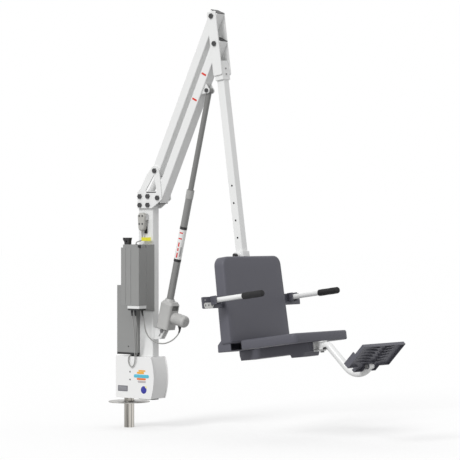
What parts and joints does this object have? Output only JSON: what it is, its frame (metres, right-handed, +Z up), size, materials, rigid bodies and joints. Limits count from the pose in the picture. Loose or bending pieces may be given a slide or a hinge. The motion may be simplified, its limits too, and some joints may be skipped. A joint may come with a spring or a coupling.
{
  "type": "pool patient lift",
  "caption": "Pool patient lift: slewing mast on a deck post, parallel lifting arms with a ram, and a moulded seat with armrests and swing footrest.",
  "frame": {"origin": "on the deck post's axis at deck level, the underside of the flange", "axes": "+X from the mast forward to the seat, +Y towards the sitter's left, +Z up"},
  "size_m": [1.7781, 0.796, 2.2017],
  "materials": {
    "stainless": "brushed, satin",
    "white_paint": "white powder coat, semi-gloss",
    "grey_cover": "grey moulded housing, fine texture",
    "battery_grey": "grey moulded battery case",
    "seat_grey": "dark grey moulded seat, satin",
    "black_plastic": "black plastic caps and trims",
    "grip_black": "black foam grip",
    "bolt_steel": "stainless fasteners",
    "gear_steel": "dark machined steel",
    "bush_plastic": "ivory acetal bearing",
    "ram_grey": "grey anodised and painted actuator",
    "key_plastic": "handset keys",
    "cable_grey": "grey cable sheath"
  },
  "bodies": {
    "anchor": {"anchor_post": "stainless", "deck_flange": "stainless", "post_collar": "gear_steel", "slew_gear": "gear_steel"},
    "mast": {"base_frame": "white_paint", "post_bushes": "bush_plastic", "slew_motor": "gear_steel", "drive_cover": "white_paint", "mast_fasteners": "bolt_steel", "mast_tube": "white_paint", "mast_caps": "black_plastic", "slew_housing": "grey_cover", "housing_trim": "black_plastic", "controller_box": "grey_cover", "controller_bracket": "white_paint", "battery_tray": "white_paint", "knee_plates": "white_paint", "knee_pins": "bolt_steel", "ram_bracket": "white_paint", "ram_foot_pin": "bolt_steel", "handset_hook": "stainless", "ram_cable": "cable_grey", "slew_cable": "cable_grey", "brake_cable": "cable_grey", "hand_cable": "cable_grey"},
    "pinion": {"slew_pinion": "gear_steel"},
    "arm_lower": {"lower_arm": "white_paint", "lower_arm_fittings": "black_plastic", "clevis_pin": "bolt_steel"},
    "arm_upper": {"upper_arm": "white_paint", "upper_arm_fittings": "black_plastic"},
    "link": {"link_plates": "white_paint", "link_pins": "bolt_steel", "post_sleeve": "white_paint", "seat_tube": "white_paint"},
    "actuator": {"ram_case": "ram_grey", "ram_motor": "ram_grey", "ram_tube": "ram_grey"},
    "rod": {"ram_rod": "stainless"},
    "seat": {"seat_carriage": "white_paint", "backrest": "seat_grey", "seat_pan": "seat_grey", "seat_base": "seat_grey", "armrest_bar": "seat_grey", "footrest_bracket": "white_paint"},
    "lock": {"lock_knob": "black_plastic"},
    "armrest_near": {"right_armrest": "white_paint", "right_grip": "grip_black"},
    "armrest_far": {"left_armrest": "white_paint", "left_grip": "grip_black"},
    "foot_tube": {"footrest_tube": "white_paint"},
    "foot_pin": {"footrest_plunger": "bolt_steel"},
    "foot_plate": {"footplate": "seat_grey"},
    "battery": {"battery_pack": "battery_grey", "battery_handle": "black_plastic"},
    "hand_control": {"handset": "grey_cover"},
    "key_up": {"button_up": "key_plastic"},
    "key_down": {"button_down": "key_plastic"},
    "key_left": {"button_left": "key_plastic"},
    "key_right": {"button_right": "key_plastic"}
  },
  "joints": [
    {"name": "mast_slew", "type": "hinge", "parent": "anchor", "child": "mast", "pos_m": [0, 0, 0.12], "axis": [0, 0, 1], "continuous": true},
    {"name": "pinion_spin", "type": "hinge", "parent": "mast", "child": "pinion", "pos_m": [0.05275, 0, 0.207], "axis": [0, 0, 1], "continuous": true},
    {"name": "lift_arm", "type": "hinge", "parent": "mast", "child": "arm_lower", "pos_m": [0.2351, 0, 1.0935], "axis": [0, 1, 0], "range_deg": [0, 66]},
    {"name": "upper_arm_swing", "type": "hinge", "parent": "mast", "child": "arm_upper", "pos_m": [0.21492, 0, 1.23709], "axis": [0, 1, 0], "range_deg": [0, 66]},
    {"name": "link_level", "type": "hinge", "parent": "arm_lower", "child": "link", "pos_m": [0.62357, 0, 1.88646], "axis": [0, 1, 0], "range_deg": [-66, 0]},
    {"name": "actuator_tilt", "type": "hinge", "parent": "mast", "child": "actuator", "pos_m": [0.2491, 0, 0.39], "axis": [0, 1, 0], "range_deg": [0, 30.95], "deforming": ["ram_cable"]},
    {"name": "rod_pivot", "type": "hinge", "parent": "arm_lower", "child": "rod", "pos_m": [0.55949, 0, 1.64837], "axis": [0, 1, 0], "range_deg": [-35.05, 0]},
    {"name": "seat_slide", "type": "slide", "parent": "link", "child": "seat", "axis": [-0.1392, 0, 0.9903], "range_m": [0, 0.36]},
    {"name": "lock_pull", "type": "slide", "parent": "seat", "child": "lock", "axis": [0, -1, 0], "range_m": [0, 0.01], "stiffness_N_per_m": 900},
    {"name": "armrest_near_lift", "type": "hinge", "parent": "seat", "child": "armrest_near", "pos_m": [0.86216, -0.314, 0.57389], "axis": [0, -1, 0], "range_deg": [0, 90]},
    {"name": "armrest_far_lift", "type": "hinge", "parent": "seat", "child": "armrest_far", "pos_m": [0.86216, 0.314, 0.57389], "axis": [0, -1, 0], "range_deg": [0, 90]},
    {"name": "footrest_swing", "type": "hinge", "parent": "seat", "child": "foot_tube", "pos_m": [1.28426, 0, 0.34693], "axis": [-0.1392, 0, 0.9903], "range_deg": [0, 90]},
    {"name": "footrest_pull", "type": "slide", "parent": "foot_tube", "child": "foot_pin", "axis": [0.9903, 0, 0.1392], "range_m": [0, 0.008], "stiffness_N_per_m": 800},
    {"name": "footplate_fold", "type": "hinge", "parent": "foot_tube", "child": "foot_plate", "pos_m": [1.5752, 0, 0.25873], "axis": [0, -1, 0], "range_deg": [0, 60]},
    {"name": "battery_lift", "type": "slide", "parent": "mast", "child": "battery", "axis": [0, 0, 1], "range_m": [0, 0.1]},
    {"name": "handset_lift", "type": "slide", "parent": "mast", "child": "hand_control", "axis": [0, 0, 1], "range_m": [0, 0.018]},
    {"name": "press_up", "type": "slide", "parent": "hand_control", "child": "key_up", "axis": [0, 1, 0], "range_m": [0, 0.0012], "stiffness_N_per_m": 800},
    {"name": "press_down", "type": "slide", "parent": "hand_control", "child": "key_down", "axis": [0, 1, 0], "range_m": [0, 0.0012], "stiffness_N_per_m": 800},
    {"name": "press_left", "type": "slide", "parent": "hand_control", "child": "key_left", "axis": [0, 1, 0], "range_m": [0, 0.0012], "stiffness_N_per_m": 800},
    {"name": "press_right", "type": "slide", "parent": "hand_control", "child": "key_right", "axis": [0, 1, 0], "range_m": [0, 0.0012], "stiffness_N_per_m": 800}
  ],
  "couplings": [
    {"joint": "pinion_spin", "follows": "mast_slew", "ratio": 2},
    {"joint": "upper_arm_swing", "follows": "lift_arm", "ratio": 1},
    {"joint": "link_level", "follows": "lift_arm", "ratio": -1},
    {"joint": "actuator_tilt", "follows": "lift_arm", "ratio": 0.469},
    {"joint": "rod_pivot", "follows": "lift_arm", "ratio": -0.531}
  ]
}
